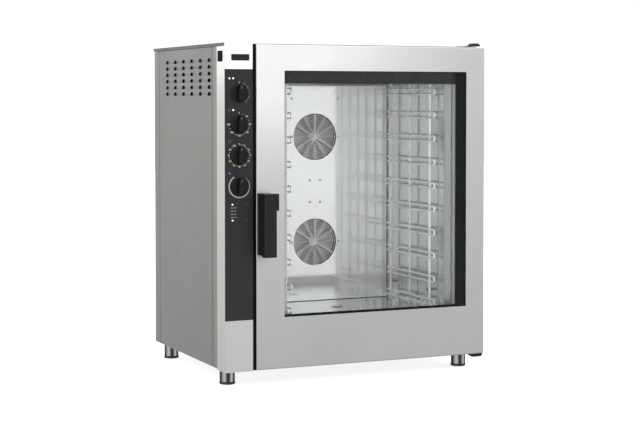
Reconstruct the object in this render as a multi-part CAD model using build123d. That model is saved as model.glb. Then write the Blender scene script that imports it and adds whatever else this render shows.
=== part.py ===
from build123d import *
import os

# Ten-level combi steamer oven for 530 x 325 mm trays loaded crosswise. Sizes are in millimetres.
# X runs to the right and Y to the back, seen from the front. Z is up, and Z = 0 is the floor under the feet.
# The origin is the centre of the footprint, handle and rear spigots included.
# Helpers take y as the distance back from the door's front face, and z as the height above the body's
# underside.

# ---------------------------------------------------------------- driving dimensions
BODY_W = 933.0
BODY_H = 1036.0
BODY_D = 704.0
FOOT_H = 52.0
HANDLE_PROUD = 63.0  # lever in front of the door face
REAR_PROUD = 30.0  # drain spigot behind the rear panel

HALF_W = BODY_W / 2
Y_FACE = HANDLE_PROUD - (HANDLE_PROUD + BODY_D + REAR_PROUD) / 2

SHEET = 1.5  # stainless sheet
SKIN = 1.2  # door and panel sheet
GAP = 0.5  # between neighbouring panels

# control column on the left, door on the right; both are FRONT_D deep and stand in front of the body
FRONT_D = 68.0
COLUMN_X = (-HALF_W, -371.0)
DOOR_X = (-360.0, HALF_W)
DOOR_Z = (1.0, 1031.5)
DOOR_D = 53.0  # door without the gasket behind it

# cooking chamber, inside faces; its mouth is MOUTH_STEP wider all round
MOUTH_STEP, MOUTH_DEPTH = 14.0, 20.0
CHAMBER_X = (-216.0, 362.0)
CHAMBER_Y = (FRONT_D + 2.0, 592.0)
CHAMBER_Z = (139.0, 934.0)
CHAMBER_MID = sum(CHAMBER_X) / 2
MOUTH_X = (CHAMBER_X[0] - MOUTH_STEP, CHAMBER_X[1] + MOUTH_STEP)
MOUTH_Z = (CHAMBER_Z[0] - MOUTH_STEP, CHAMBER_Z[1] + MOUTH_STEP)
BAFFLE_Y = 518.0
BAFFLE_Z = (141.0, 907.0)
WOOL_T = 28.0  # insulation around the chamber

# fans behind the baffle
FAN_Z = (725.0, 350.0)
FAN_R = 95.0
FAN_Y = (529.0, 574.0)
GUARD_R = 84.0
SHAFT_R = 6.0
RUNNING = 0.05  # radial clearance of a running fit
COIL_R, COIL_LEAD_X = 118.0, 30.0
COIL_LEAD_DROP = (COIL_R**2 - COIL_LEAD_X**2) ** 0.5
INJECTOR_RISE = 145.0

# tray racks
LEVELS = 10
PITCH = 80.0
LOWEST_LEVEL = 165.0
WIRE_R = 3.0
RUNNER_X = 264.0  # chamber centre to the wires that a tray's rim rests on
RUNNER_GAP = 18.0  # lower wire to upper wire of one runner
RUNNER_Y = (110.0, 468.0)
POST_R = 4.0
POST_X = RUNNER_X + WIRE_R + POST_R + 0.02
POST_Y = (160.0, 307.0, 454.0)
POST_Z = (CHAMBER_Z[0] + 0.05, 925.0)

# window
WINDOW_X = (-263.0, 397.0)
WINDOW_Z = (165.0, 949.5)
BORDER_X = (-246.0, 380.5)
BORDER_Z = (167.0, 909.0)
PANE_X = (-300.0, 434.0)
PANE_Z = (120.0, 985.0)

# door pivot
PIVOT_X, PIVOT_Y = 441.0, 28.0
PIN_R = 6.0
ROOF_ARM_X, BASE_ARM_X = (431.0, 451.0), (430.0, 465.0)
HINGE_ARM_Y = (17.0, 130.0)
ROOF_ARM_Z, BASE_ARM_Z = (BODY_H + 0.1, BODY_H + 4.1), (-4.1, -0.1)

# handle
HANDLE_X = -331.5
HUB_Z = (510.0, 563.0)
HUB_W = 49.0
LEVER_W = 41.5
LEVER_BOTTOM = 363.0
BASE_D = 36.0  # fixed housing between the door and the lever
HANDLE_AXIS_Z = sum(HUB_Z) / 2
SPINDLE_R = 6.0
LATCH_REACH = 50.0

# control column
DIAL_X = COLUMN_X[0] + 49.25
DIAL_Z = (877.5, 780.0, 682.5, 585.0)
DIAL_NAMES = ("mode", "temperature", "timer", "humidity")
DIAL_R = 29.0
DIAL_SPINDLE_R = 3.0
OVERLAY_Z = (163.0, 953.0)
OVERLAY_T = 1.5
BUTTON_X = -395.0
BUTTON_Z = (529.0, 479.0)
BUTTON_R = 7.0
LED_R = 2.8
LED_PLACES = ((-450, 924), (-437.5, 924), (-437.5, 825), (-450, 627), (-440.5, 529), (-440.5, 479))
BADGE_X, BADGE_Z = -413.0, 990.0
PORT_Z = (977.0, 1011.0)  # cap in the column's left return

# side panels
SIDE_Y = (96.0, 654.0)
SIDE_FIELD_Y = 127.0
SIDE_X = 461.5
REAR_X = 462.3  # rear cover, just proud of the side panels
LOUVRE_COLUMNS, LOUVRE_ROWS = 6, 6
LOUVRE_FIRST_Y, LOUVRE_STEP_Y = 149.0, 83.0
LOUVRE_TOP_Z, LOUVRE_STEP_Z = 984.0, 21.6
LOUVRE_LENGTH, LOUVRE_R, LOUVRE_SINK = 42.0, 7.5, 1.0

# feet
FOOT_X, FOOT_Y = 422.0, (97.0, 650.0)
FOOT_R = 25.5
FOOT_STEM_R = 6.0

# services
DRAIN_R, DRAIN_Z, DRAIN_Y = 20.0, 62.0, 330.0
WATER_X, WATER_Z, WATER_R, WATER_THREAD = -330.0, 90.0, 13.2, 18.0
FLANGE_T = 3.0  # on the pipes, against the rear panel
GLAND_X, GLAND_Z, GLAND_R = -400.0, 70.0, 8.0
VENT_X, VENT_Y, VENT_R, VENT_TOP = 200.0, 480.0, 25.0, BODY_H + 14.0
FLAP_Z = 1007.0
COOLER_X, COOLER_Z, COOLER_R = -390.0, 780.0, 36.0
PARTITION_X = -270.0
LAMP_Y, LAMP_Z, LAMP_R = 470.0, (860.0, 240.0), 27.0


# ---------------------------------------------------------------- helpers
def at(x, y, z):
    """A place in the oven's own measures: y back from the door face, z up from the underside of the body."""
    return Pos(x, Y_FACE + y, FOOT_H + z)


def span(x, y, z):
    """A box between the low and high values of x, y and z."""
    middle = at(sum(x) / 2, sum(y) / 2, sum(z) / 2)
    return middle * Box(x[1] - x[0], y[1] - y[0], z[1] - z[0])


def rod_x(x, y, z, radius):
    return at(sum(x) / 2, y, z) * Rot(0, 90, 0) * Cylinder(radius, x[1] - x[0])


def rod_y(x, y, z, radius):
    return at(x, sum(y) / 2, z) * Rot(90, 0, 0) * Cylinder(radius, y[1] - y[0])


def rod_z(x, y, z, radius):
    return at(x, y, sum(z) / 2) * Cylinder(radius, z[1] - z[0])


def grow(limits, amount):
    """The low and high value, each moved outwards."""
    return (limits[0] - amount, limits[1] + amount)


def frame_plate(outer_x, outer_z, inner_x, inner_z, y, corner=0.0):
    """A flat rectangular ring standing upright, with its hole's corners rounded if asked."""
    hole = span(inner_x, grow(y, 1), inner_z)
    if corner:
        hole = fillet(hole.edges().filter_by(Axis.Y), corner)
    return span(outer_x, y, outer_z) - hole


def rounded_y(x, y, z, radius):
    """A box with the edges that run front to back rounded."""
    return fillet(span(x, y, z).edges().filter_by(Axis.Y), radius)


def bent_tube(points, bend, radius, bore=0.0):
    """A round tube along a line with rounded bends. Each point is x, y, z in the oven's own measures."""
    places = [Vector(x, Y_FACE + y, FOOT_H + z) for x, y, z in points]
    path = FilletPolyline(*places, radius=bend)
    section = Plane(origin=path @ 0, z_dir=path % 0) * Circle(radius)
    if bore:
        section -= Plane(origin=path @ 0, z_dir=path % 0) * Circle(bore)
    return sweep(section, path=path)


def level_heights():
    return [LOWEST_LEVEL + PITCH * level for level in range(LEVELS)]


def save(shape, name):
    """Writes one sub-part. A list is written as one group of separate solids."""
    if isinstance(shape, (list, tuple)):
        solids = [solid for item in shape for solid in item.solids()]
        shape = Compound(children=[Solid(solid.wrapped) for solid in solids])
    export_step(shape, f"parts/{name}.step")


# ---------------------------------------------------------------- body
def chassis_frame():
    """Base tray with four corner posts, two top rails and the partition that carries the electrics."""
    x, y = (-459.2, 459.2), (70.5, 701.5)
    tray_h, post, wall = 28.0, 22.0, 2.0
    frame = span(x, y, (0, tray_h)) - span(grow(x, -wall), grow(y, -wall), (wall, tray_h + 1))
    for side in (-1, 1):
        edge = side * x[1]
        for y_post in ((y[0], y[0] + post), (y[1] - post, y[1])):
            skin_side = sorted((edge, edge - side * wall))
            frame += span(skin_side, y_post, (0, 1024))
            web_y = (y_post[0], y_post[0] + wall) if y_post[0] == y[0] else (y_post[1] - wall, y_post[1])
            frame += span(sorted((edge, edge - side * post)), web_y, (0, 1024))
        frame += span(sorted((edge, edge - side * wall)), y, (1004, 1024))
    frame += span((PARTITION_X, PARTITION_X + wall), (130, 640), (wall - 0.5, 980))
    for foot_x in (-FOOT_X, FOOT_X):
        for foot_y in FOOT_Y:
            frame -= rod_z(foot_x, foot_y, (-1, wall + 1), FOOT_STEM_R + 0.5)
    return frame


def front_frame():
    """Stainless face of the body behind the door, with the chamber's mouth and a hole for wiring."""
    x, z = (-464.5, 464.5), (3, 1033)
    plate = frame_plate(x, z, MOUTH_X, MOUTH_Z, (FRONT_D, FRONT_D + SHEET), corner=10)
    plate -= span((-450, -384), (FRONT_D - 1, FRONT_D + SHEET + 1), (120, 1000))
    for side in (-1, 1):
        flange_x = sorted((side * x[1], side * (x[1] - SHEET)))
        plate += span(flange_x, (FRONT_D, SIDE_Y[0] - GAP), (3, 1025))
    return plate


def louvre():
    """One pressed hood, open at its front end, on a panel whose skin is the plane x = 0 and faces -X."""
    taper_to = 1.6
    hood = Rot(-90, 0, 0) * Cone(LOUVRE_R, taper_to, LOUVRE_LENGTH)
    hood = Pos(LOUVRE_SINK, LOUVRE_LENGTH / 2, 0) * hood
    keep = Pos(-10 + 0.6, LOUVRE_LENGTH / 2, 0) * Box(20, 2 * LOUVRE_LENGTH, 40)
    bore = Rot(-90, 0, 0) * Cone(LOUVRE_R - 1, taper_to - 0.9, LOUVRE_LENGTH - 2)
    bore = Pos(LOUVRE_SINK, LOUVRE_LENGTH / 2 - 1.5, 0) * bore
    return hood & keep, bore


def side_panel(side, louvred):
    """Flat skin with a raised field, and on the left a block of pressed louvres. side is -1 for the left."""
    edge = sorted((side * (SIDE_X - 1), side * (SIDE_X - 1 - SKIN)))
    panel = span(edge, SIDE_Y, (4, 1025))
    panel += span(sorted((side * SIDE_X, side * (SIDE_X - 1 - SKIN))), (SIDE_FIELD_Y, SIDE_Y[1]), (4, 1025))
    if not louvred:
        return panel
    hood, bore = louvre()
    places = [
        at(-SIDE_X, LOUVRE_FIRST_Y + LOUVRE_STEP_Y * column, LOUVRE_TOP_Z - LOUVRE_STEP_Z * row)
        for column in range(LOUVRE_COLUMNS)
        for row in range(LOUVRE_ROWS)
    ]
    panel += [place * hood for place in places]
    return panel - [place * bore for place in places]


def rear_panel():
    """Back cover that wraps round both sides, with service holes and two fields of vent slots."""
    y = (BODY_D - SHEET, BODY_D)
    panel = span((-REAR_X, REAR_X), y, (3, 1025))
    for side in (-1, 1):
        wrap = sorted((side * REAR_X, side * (REAR_X - SHEET)))
        panel += span(wrap, (SIDE_Y[1] + 0.2, BODY_D), (3, 1025))
    deep = grow(y, 2)
    panel -= rod_y(CHAMBER_MID, deep, DRAIN_Z, DRAIN_R + 1)
    panel -= rod_y(WATER_X, deep, WATER_Z, WATER_R + 0.6)
    panel -= rod_y(GLAND_X, deep, GLAND_Z, GLAND_R + 3.4)
    slot_x = (COOLER_X - 30, COOLER_X + 30)
    slots = [span(slot_x, deep, (COOLER_Z + rise, COOLER_Z + rise + 5)) for rise in range(-30, 31, 12)]
    for fan_z in FAN_Z:
        slot_x = (CHAMBER_MID - 60, CHAMBER_MID + 60)
        slots += [span(slot_x, deep, (fan_z + rise, fan_z + rise + 6)) for rise in range(-42, 43, 14)]
    return panel - slots


def top_cover():
    """Roof sheet with a drip flange. It reaches forward over the control column."""
    z = (BODY_H - SHEET, BODY_H)
    x = (-465.5, 465.5)
    cover = span(x, (FRONT_D + 2, BODY_D + 0.5 + SHEET), z)
    cover += span((x[0], COLUMN_X[1] - 0.5), (2, FRONT_D + 3), z)
    cover += span((x[0], x[0] + 1), (2, BODY_D + 0.5 + SHEET), (1026, BODY_H))
    cover += span((x[1] - 1, x[1]), (FRONT_D + 2, BODY_D + 0.5 + SHEET), (1026, BODY_H))
    cover += span(x, (BODY_D + 0.5, BODY_D + 0.5 + SHEET), (1026, BODY_H))
    cover += span((COLUMN_X[1] + 2, x[1]), (FRONT_D + 2, FRONT_D + 3), (1026, BODY_H))
    return cover - rod_z(VENT_X, VENT_Y, grow(z, 2), VENT_R + 0.5)


def foot(x, y):
    """Screw-in leg: rubber-shod end, steel sleeve and the threaded stem that reaches into the base tray."""
    shoe_h = 9.0
    shoe = rod_z(x, y, (-FOOT_H, -FOOT_H + shoe_h), FOOT_R)
    shoe = fillet(shoe.edges().filter_by(GeomType.CIRCLE), 2.5)
    sleeve = rod_z(x, y, (-FOOT_H + 2, -0.5), FOOT_R - 0.8)
    return shoe + sleeve + rod_z(x, y, (-1, 24), FOOT_STEM_R)


# ---------------------------------------------------------------- cooking chamber
def chamber():
    """Welded liner with a stepped mouth and holes for shafts, pipes and lamps, split at its seams."""
    corner = 3
    mouth_y = (CHAMBER_Y[0], CHAMBER_Y[0] + MOUTH_DEPTH)
    liner_y = (CHAMBER_Y[0], CHAMBER_Y[1] + SHEET)
    flange_y = (mouth_y[0], mouth_y[1] + SHEET)
    shell = rounded_y(grow(CHAMBER_X, SHEET), liner_y, grow(CHAMBER_Z, SHEET), corner + SHEET)
    shell += rounded_y(grow(MOUTH_X, SHEET), flange_y, grow(MOUTH_Z, SHEET), corner + SHEET)
    shell -= rounded_y(CHAMBER_X, (CHAMBER_Y[0] - 5, CHAMBER_Y[1]), CHAMBER_Z, corner)
    shell -= rounded_y(MOUTH_X, (mouth_y[0] - 5, mouth_y[1]), MOUTH_Z, corner)
    back_y = (CHAMBER_Y[1], CHAMBER_Y[1] + SHEET)
    for fan_z in FAN_Z:
        shell -= rod_y(CHAMBER_MID, grow(back_y, 1), fan_z, SHAFT_R + 6)
        shell -= rod_y(CHAMBER_MID, grow(back_y, 1), fan_z + INJECTOR_RISE, 4.5)
        for side in (-1, 1):
            shell -= rod_y(CHAMBER_MID + side * COIL_LEAD_X, grow(back_y, 1), fan_z - COIL_LEAD_DROP, 5)
    shell -= rod_z(CHAMBER_MID, DRAIN_Y, (CHAMBER_Z[0] - SHEET - 1, CHAMBER_Z[0] + 1), DRAIN_R + 0.3)
    shell -= rod_z(VENT_X, VENT_Y, (CHAMBER_Z[1] - 1, CHAMBER_Z[1] + SHEET + 1), VENT_R + 0.3)
    for lamp_z in LAMP_Z:
        shell -= rod_x((CHAMBER_X[0] - SHEET - 1, CHAMBER_X[0] + 1), LAMP_Y, lamp_z, LAMP_R - 3)

    x_far, z_far = grow(MOUTH_X, 5), grow(MOUTH_Z, 5)
    z_middle = sum(CHAMBER_Z) / 2
    plates = [shell & span(x_far, back_y, z_far)]
    for y, seam_x in ((flange_y, CHAMBER_X), ((flange_y[1], back_y[0]), grow(CHAMBER_X, -corner))):
        plates.append(shell & span((x_far[0], seam_x[0]), y, z_far))
        plates.append(shell & span((seam_x[1], x_far[1]), y, z_far))
        plates.append(shell & span(seam_x, y, (z_far[0], z_middle)))
        plates.append(shell & span(seam_x, y, (z_middle, z_far[1])))
    return plates


def insulation():
    """Five mineral wool boards round the chamber."""
    near = SHEET + 0.5
    x_in, z_in = grow(CHAMBER_X, near), grow(CHAMBER_Z, near)
    x_out, z_out = grow(x_in, WOOL_T), grow(z_in, WOOL_T)
    y = (CHAMBER_Y[0] + MOUTH_DEPTH + near, CHAMBER_Y[1] + near)
    floor_z, roof_z, left_x = (z_out[0], z_in[0]), (z_in[1], z_out[1]), (x_out[0], x_in[0])
    floor_board = span(x_out, y, floor_z) - rod_z(CHAMBER_MID, DRAIN_Y, grow(floor_z, 1), DRAIN_R + 2)
    roof_board = span(x_out, y, roof_z) - rod_z(VENT_X, VENT_Y, grow(roof_z, 1), VENT_R + 2)
    left_board = span(left_x, y, z_in)
    right_board = span((x_in[1], x_out[1]), y, z_in)
    for lamp_z in LAMP_Z:
        left_board -= rod_x(grow(left_x, 1), LAMP_Y, lamp_z, LAMP_R + 3)
    rear_y = (y[1] + 0.5, y[1] + 24)
    rear_board = span(x_out, rear_y, z_out)
    for fan_z in FAN_Z:
        rear_board -= rod_y(CHAMBER_MID, grow(rear_y, 1), fan_z, 20)
        rear_board -= rod_y(CHAMBER_MID, grow(rear_y, 1), fan_z + INJECTOR_RISE, 6)
        for side in (-1, 1):
            lead_x = CHAMBER_MID + side * COIL_LEAD_X
            rear_board -= rod_y(lead_x, grow(rear_y, 1), fan_z - COIL_LEAD_DROP, 7)
    return [floor_board, roof_board, left_board, right_board, rear_board]


def fan_baffle():
    """Polished rear wall of the tray space, its sides folded back, with an intake hole for each fan."""
    side_gap, fold = 0.6, 56.0
    x, z = grow(CHAMBER_X, -side_gap), BAFFLE_Z
    bend_r = 5.0
    plate = span(x, (BAFFLE_Y, BAFFLE_Y + fold), z)
    plate = fillet(plate.edges().filter_by(Axis.Z).group_by(Axis.Y)[0], bend_r)
    hollow = span(grow(x, -SHEET), (BAFFLE_Y + SHEET, BAFFLE_Y + fold + 1), grow(z, 1))
    plate -= fillet(hollow.edges().filter_by(Axis.Z).group_by(Axis.Y)[0], bend_r - SHEET)
    for fan_z in FAN_Z:
        plate -= rod_y(CHAMBER_MID, (BAFFLE_Y - 1, BAFFLE_Y + 3), fan_z, GUARD_R - 1)
    for x_screw, z_screw in baffle_screw_places():
        plate -= rod_y(x_screw, (BAFFLE_Y - 1, BAFFLE_Y + 3), z_screw, 2.6)
    return plate


def baffle_screw_places():
    """Four screws between the fans, one near each corner, and one on each side of both fan guards."""
    places = [(CHAMBER_MID + dx, z) for dx in (-20, 20) for z in (570, 492.5)]
    places += [(CHAMBER_MID + dx, z) for dx in (-90, 90) for z in (861, 205)]
    places += [(CHAMBER_MID + dx, z) for dx in (-GUARD_R - 7, GUARD_R + 7) for z in FAN_Z]
    return places


def fan_guard(fan_z):
    """Wire guard over a fan intake: rim, spokes and two screw tabs, and rings behind the spokes."""
    y, spoke_r, ring_wire_r, ring_step = BAFFLE_Y - 2.2, 1.1, 0.9, 8
    centre = at(CHAMBER_MID, y, fan_z) * Rot(90, 0, 0)
    guard = centre * Torus(GUARD_R, 2)
    for angle in range(0, 180, 30):
        guard += centre * Rot(0, 0, angle) * Rot(0, 90, 0) * Cylinder(spoke_r, 2 * GUARD_R)
    for side in (-1, 1):
        middle = CHAMBER_MID + side * (GUARD_R + 6)
        guard += span((middle - 8, middle + 8), (y - 0.6, y + 0.6), (fan_z - 6, fan_z + 6))
        guard -= rod_y(CHAMBER_MID + side * (GUARD_R + 7), (y - 3, y + 3), fan_z, 2.6)
    behind = at(CHAMBER_MID, y + spoke_r + ring_wire_r + 0.02, fan_z) * Rot(90, 0, 0)
    ring_radii = range(12, int(GUARD_R) - ring_step + 1, ring_step)
    return [guard] + [behind * Torus(ring_r, ring_wire_r) for ring_r in ring_radii]


def fan_wheel(fan_z):
    """Radial wheel with twelve straight blades on a back disc, and the shaft that enters the motor."""
    hub_r, hole_r, blade_t, blades = 16.0, SHAFT_R + RUNNING, 1.6, 12
    wheel = rod_y(CHAMBER_MID, (FAN_Y[1] - 2, FAN_Y[1]), fan_z, FAN_R)
    wheel += rod_y(CHAMBER_MID, (FAN_Y[0] + 8, FAN_Y[1] - 1), fan_z, hub_r)
    reach = FAN_R - hub_r
    for blade in range(blades):
        vane = Pos(hub_r - 1 + reach / 2, 0, 0) * Box(reach, FAN_Y[1] - FAN_Y[0] - 1, blade_t)
        wheel += at(CHAMBER_MID, sum(FAN_Y) / 2, fan_z) * Rot(0, blade * 360 / blades, 0) * vane
    wheel -= rod_y(CHAMBER_MID, (FAN_Y[0] - 1, FAN_Y[1] + 1), fan_z, hole_r)
    shaft = rod_y(CHAMBER_MID, (FAN_Y[0] + 6, 680), fan_z, SHAFT_R)
    return [wheel, shaft]


def fan_motor(fan_z):
    """Short external-frame motor with its mounting plate, bored for the shaft."""
    motor = rod_y(CHAMBER_MID, (622, 698), fan_z, 54)
    motor = chamfer(motor.edges().filter_by(GeomType.CIRCLE), 4)
    motor += rounded_y((CHAMBER_MID - 66, CHAMBER_MID + 66), (619, 624), (fan_z - 66, fan_z + 66), 10)
    return motor - rod_y(CHAMBER_MID, (600, 682), fan_z, SHAFT_R + RUNNING)


def heating_coil(fan_z):
    """Three turns of tubular element round a fan, linked, with two leads through the chamber's back."""
    turn_r, tube_r, first_y, step = COIL_R, 4.2, 534.0, 14.0
    coil = None
    for turn in range(3):
        ring = at(CHAMBER_MID, first_y + step * turn, fan_z) * Rot(90, 0, 0) * Torus(turn_r, tube_r)
        coil = ring if coil is None else coil + ring
    for side in (-1, 1):
        lead_x = CHAMBER_MID + side * COIL_LEAD_X
        coil += rod_y(lead_x, (first_y, 660), fan_z - COIL_LEAD_DROP, tube_r - 0.2)
    return coil


def water_injector(fan_z):
    """Tube from the back of the oven, over the heating coil and down to the middle of the fan."""
    high, tip_y = fan_z + INJECTOR_RISE, 524
    points = [(CHAMBER_MID, 617, high), (CHAMBER_MID, tip_y, high), (CHAMBER_MID, tip_y, fan_z + 4)]
    return bent_tube(points, 12, 3.4, 2.2)


def rack(side):
    """Three posts and ten upright hairpins. A tray's rims rest on the upper wires of two facing hairpins."""
    x = CHAMBER_MID + side * RUNNER_X
    front, rear = RUNNER_Y[0] + WIRE_R, RUNNER_Y[1]
    pieces = [rod_z(CHAMBER_MID + side * POST_X, y, POST_Z, POST_R) for y in POST_Y]
    for z in level_heights():
        lower, upper = z - RUNNER_GAP / 2, z + RUNNER_GAP / 2
        points = [(x, rear, lower), (x, front, lower), (x, front, upper), (x, rear, upper)]
        pieces.append(bent_tube(points, RUNNER_GAP / 2 - 0.3, WIRE_R))
    return pieces


def rack_studs():
    """Studs on the chamber walls, close behind the front and rear posts, with heads that hold the posts."""
    stud_r, head_r, head_t = 4.0, 8.0, 2.0
    studs = []
    for side, wall in ((-1, CHAMBER_X[0]), (1, CHAMBER_X[1])):
        head_x = CHAMBER_MID + side * (POST_X - POST_R - 0.1)
        for post_y in (POST_Y[0], POST_Y[2]):
            for z in (LOWEST_LEVEL + PITCH / 2, LOWEST_LEVEL + PITCH * (LEVELS - 1) + 30):
                y = post_y + POST_R + stud_r + 0.1
                stud = rod_x(sorted((head_x, wall - side * 0.05)), y, z, stud_r)
                studs.append(stud + rod_x(sorted((head_x, head_x - side * head_t)), y, z, head_r))
    return studs


def door_gasket():
    """Hollow silicone seal round the chamber's mouth."""
    x_in, z_in, width = grow(MOUTH_X, 3), grow(MOUTH_Z, 3), 8.0
    y = (DOOR_D + 1, FRONT_D - 0.1)
    ring = frame_plate(grow(x_in, width), grow(z_in, width), x_in, z_in, y, corner=8)
    long_edges = ring.edges().filter_by(Axis.Y)
    outer_corners = long_edges.sort_by(lambda edge: -abs(edge.center().X - CHAMBER_MID))[:4]
    ring = fillet(outer_corners, 14)
    return fillet(ring.edges().group_by(Axis.Y)[0], 2.4)


def lamps():
    """Two round lamp glasses with their metal rims, set in the chamber's left wall."""
    wall = CHAMBER_X[0]
    pieces = []
    for lamp_z in LAMP_Z:
        body = rod_x((wall + 0.05, wall + 4), LAMP_Y, lamp_z, LAMP_R)
        body += rod_x((wall - 26, wall + 1), LAMP_Y, lamp_z, LAMP_R - 3.2)
        pieces.append(fillet(body.edges().filter_by(GeomType.CIRCLE).group_by(Axis.X)[-1], 2.5))
    return pieces


# ---------------------------------------------------------------- services
def drain_pipe():
    """Outlet from the chamber floor, round a bend to a spigot at the back."""
    points = [
        (CHAMBER_MID, DRAIN_Y, CHAMBER_Z[0] - 0.5),
        (CHAMBER_MID, DRAIN_Y, DRAIN_Z),
        (CHAMBER_MID, BODY_D + REAR_PROUD, DRAIN_Z),
    ]
    pipe = bent_tube(points, 32, DRAIN_R, DRAIN_R - 1.5)
    flange_y = (BODY_D + 0.2, BODY_D + FLANGE_T)
    flange = rod_y(CHAMBER_MID, flange_y, DRAIN_Z, DRAIN_R + 5)
    return pipe + (flange - rod_y(CHAMBER_MID, grow(flange_y, 1), DRAIN_Z, DRAIN_R - 1))


def vent_pipe():
    """Steam outlet from the chamber's roof to above the top cover, cross-bored for the flap's shaft."""
    z = (CHAMBER_Z[1] + 0.2, VENT_TOP)
    pipe = rod_z(VENT_X, VENT_Y, z, VENT_R) + rod_z(VENT_X, VENT_Y, (BODY_H + 0.1, BODY_H + 2), VENT_R + 8)
    pipe -= rod_z(VENT_X, VENT_Y, grow(z, 1), VENT_R - 1.5)
    return pipe - rod_x((VENT_X - 40, VENT_X + 40), VENT_Y, FLAP_Z, 3 + RUNNING)


def vent_flap():
    """Round butterfly on its shaft, inside the vent pipe."""
    flap = rod_z(VENT_X, VENT_Y, (FLAP_Z - 0.8, FLAP_Z + 0.8), VENT_R - 2.1)
    return flap + rod_x((VENT_X - 52, VENT_X + VENT_R + 4), VENT_Y, FLAP_Z, 3)


def vent_actuator():
    """Gear motor that turns the flap, beside the vent pipe."""
    body = span((VENT_X - 96, VENT_X - 40), (VENT_Y - 28, VENT_Y + 28), (FLAP_Z - 24, FLAP_Z + 24))
    body = fillet(body.edges().filter_by(Axis.X), 5)
    return body - rod_x((VENT_X - 54, VENT_X - 30), VENT_Y, FLAP_Z, 3 + RUNNING)


def water_valve():
    """Solenoid valve behind the rear panel, with a threaded inlet spigot outside."""
    valve = span((WATER_X - 18, WATER_X + 18), (650, 700), (WATER_Z - 18, WATER_Z + 18))
    valve += rod_y(WATER_X, (690, BODY_D + FLANGE_T + WATER_THREAD), WATER_Z, WATER_R)
    valve += rod_y(WATER_X, (BODY_D + 0.2, BODY_D + FLANGE_T), WATER_Z, WATER_R + 4)
    valve += span((WATER_X - 12, WATER_X + 12), (658, 682), (WATER_Z + 17, WATER_Z + 52))
    return valve - rod_y(WATER_X, (680, BODY_D + 30), WATER_Z, 8)


def cable_gland():
    """Clamping gland for the supply cable, through the rear panel."""
    gland = rod_y(GLAND_X, (BODY_D - 14, BODY_D + 14), GLAND_Z, GLAND_R + 3)
    hexagon = Rot(90, 0, 0) * extrude(RegularPolygon(GLAND_R + 8, 6), 6, both=True)
    gland += at(GLAND_X, BODY_D + 6.5, GLAND_Z) * hexagon
    return gland - rod_y(GLAND_X, (BODY_D - 20, BODY_D + 30), GLAND_Z, GLAND_R)


def contactors():
    """Three switching blocks on the partition."""
    x, z, width = (PARTITION_X - 62, PARTITION_X - 0.1), (470, 552), 46
    return [fillet(span(x, (y, y + width), z).edges().filter_by(Axis.X), 3) for y in (200, 256, 312)]


def control_board():
    """Circuit board on pillars, with its relays and transformer."""
    board_x = PARTITION_X - 14
    board = span((board_x - 1.6, board_x), (180, 400), (620, 860))
    for y in (190, 390):
        for z in (630, 850):
            board += rod_x((board_x - 0.5, PARTITION_X - 0.1), y, z, 4)
    for step in range(5):
        board += span((board_x - 19, board_x - 1), (200 + 36 * step, 222 + 36 * step), (640, 670))
    board += span((board_x - 36, board_x - 1), (330, 385), (770, 830))
    board += span((board_x - 10, board_x - 1), (210, 300), (720, 830))
    return board


def cooling_fan_housing():
    """Square axial fan frame on the inside of the rear panel."""
    half, y = 40, (674, 700)
    housing = span((COOLER_X - half, COOLER_X + half), y, (COOLER_Z - half, COOLER_Z + half))
    housing -= rod_y(COOLER_X, grow(y, 1), COOLER_Z, COOLER_R + 2)
    carrier = rod_y(COOLER_X, (694, 698), COOLER_Z, 14)
    for angle in (45, 135):
        carrier += at(COOLER_X, 696, COOLER_Z) * Rot(0, angle, 0) * Box(84, 4, 5)
    return housing + (carrier - rod_y(COOLER_X, (690, 699), COOLER_Z, 2 + RUNNING))


def cooling_fan_rotor():
    """Five-bladed rotor with its stub shaft."""
    rotor = rod_y(COOLER_X, (677, 692), COOLER_Z, 15)
    for blade in range(5):
        vane = Pos(24, 0, 0) * Rot(35, 0, 0) * Box(22, 1.6, 15)
        rotor += at(COOLER_X, 684, COOLER_Z) * Rot(0, 72 * blade, 0) * vane
    return rotor + rod_y(COOLER_X, (691, 697), COOLER_Z, 2)


# ---------------------------------------------------------------- control column
def column_panel():
    """Folded stainless column in front of the body's left side: face, left return and right return."""
    x = COLUMN_X
    column = span(x, (0, SHEET), (0, BODY_H))
    column += span((x[0], x[0] + SHEET), (0, FRONT_D - 0.5), (0, 1025))
    column += span((x[1] - SHEET, x[1]), (0, FRONT_D - 0.5), (0, 1030))
    column += span(x, (0, FRONT_D - 0.5), (0, SHEET))
    edges = column.edges().filter_by(Axis.Z).group_by(Axis.Y)[0]
    column = fillet(edges, 1.2)
    column -= span((x[0] - 1, x[0] + SHEET + 1), (20, 55), grow(PORT_Z, -3))
    through = (-1, SHEET + 1)
    for z in DIAL_Z:
        column -= rod_y(DIAL_X, through, z, 5)
    for z in BUTTON_Z:
        column -= rod_y(BUTTON_X, through, z, BUTTON_R + 2.6)
    for led_x, led_z in LED_PLACES:
        column -= rod_y(led_x, through, led_z, LED_R + 0.4)
    return column


def control_overlay():
    """Dark face plate of the controls, bonded to the column."""
    y = (-OVERLAY_T, -0.05)
    plate = rounded_y((COLUMN_X[0] + 0.8, COLUMN_X[1] - 0.8), y, OVERLAY_Z, 1.5)
    through = grow(y, 1)
    for z in DIAL_Z:
        plate -= rod_y(DIAL_X, through, z, 5)
    for z in BUTTON_Z:
        plate -= rod_y(BUTTON_X, through, z, BUTTON_R + 0.3)
    for led_x, led_z in LED_PLACES:
        plate -= rod_y(led_x, through, led_z, LED_R + 0.15)
    return plate


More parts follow.
